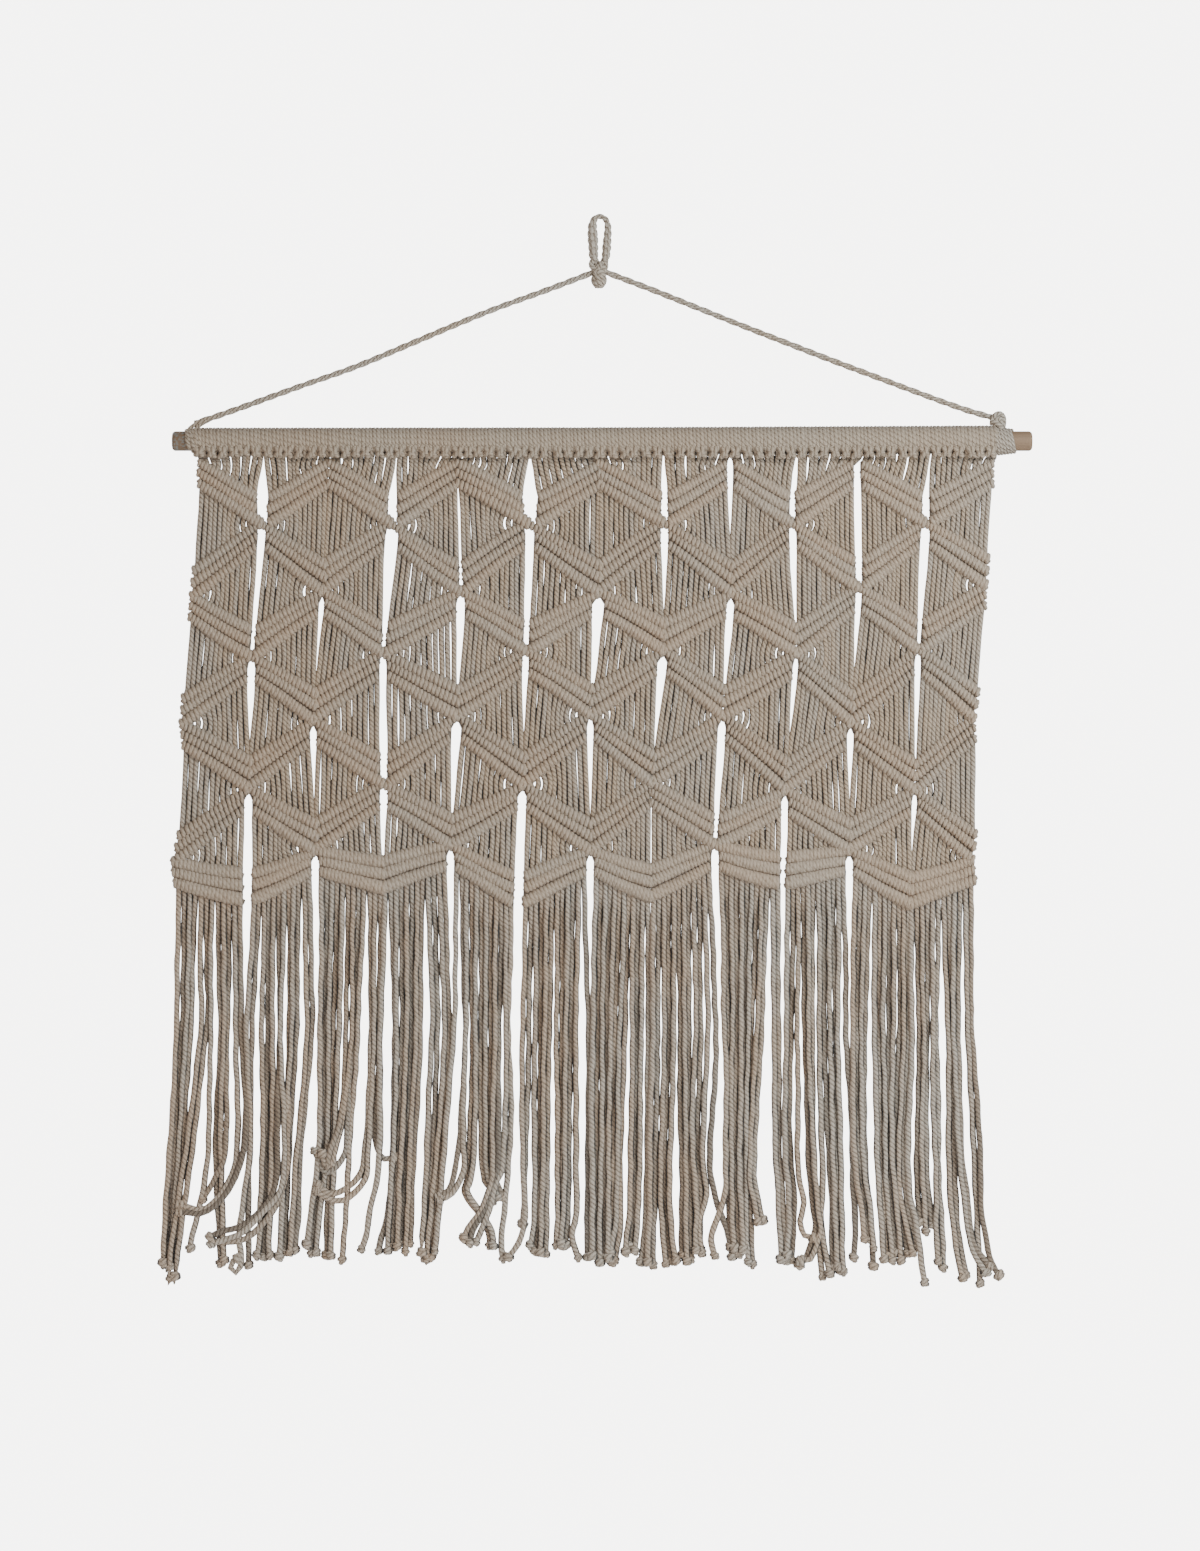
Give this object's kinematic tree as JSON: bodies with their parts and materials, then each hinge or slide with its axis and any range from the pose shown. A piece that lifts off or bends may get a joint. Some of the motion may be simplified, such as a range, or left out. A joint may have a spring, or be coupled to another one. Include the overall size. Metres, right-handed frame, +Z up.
{
  "type": "macrame wall hanging with rod",
  "caption": "Macrame wall hanging: a wooden rod carries a net of diagonal knotted bars and straight cords that ends in a long fringe, and hangs by a twisted rope with a loop.",
  "frame": {"origin": "inside of the hanging loop's crown, where a wall hook carries it", "axes": "+X to the right as seen from the room, +Y back to the wall, +Z up"},
  "size_m": [0.8118, 0.0258, 1.0011],
  "materials": {
    "rod_wood": "bare sawn and sanded, matte",
    "cotton_cord": "beige single-strand cotton, matte",
    "panel_cord": "beige single-strand cotton, matte",
    "fringe_cord": "beige single-strand cotton, matte",
    "hanging_rope": "beige two-ply twisted cotton rope, matte"
  },
  "bodies": {
    "root": {"rod": "rod_wood", "heading_knots": "cotton_cord", "panel": "panel_cord", "fringe_1": "fringe_cord", "fringe_2": "fringe_cord", "fringe_3": "fringe_cord", "fringe_4": "fringe_cord", "fringe_5": "fringe_cord", "fringe_6": "fringe_cord", "end_turns_left": "hanging_rope", "end_turns_right": "hanging_rope", "end_knot_right": "hanging_rope", "hanger_left": "hanging_rope", "hanger_right": "hanging_rope", "hanging_loop": "hanging_rope", "loop_knot": "hanging_rope"}
  },
  "joints": []
}
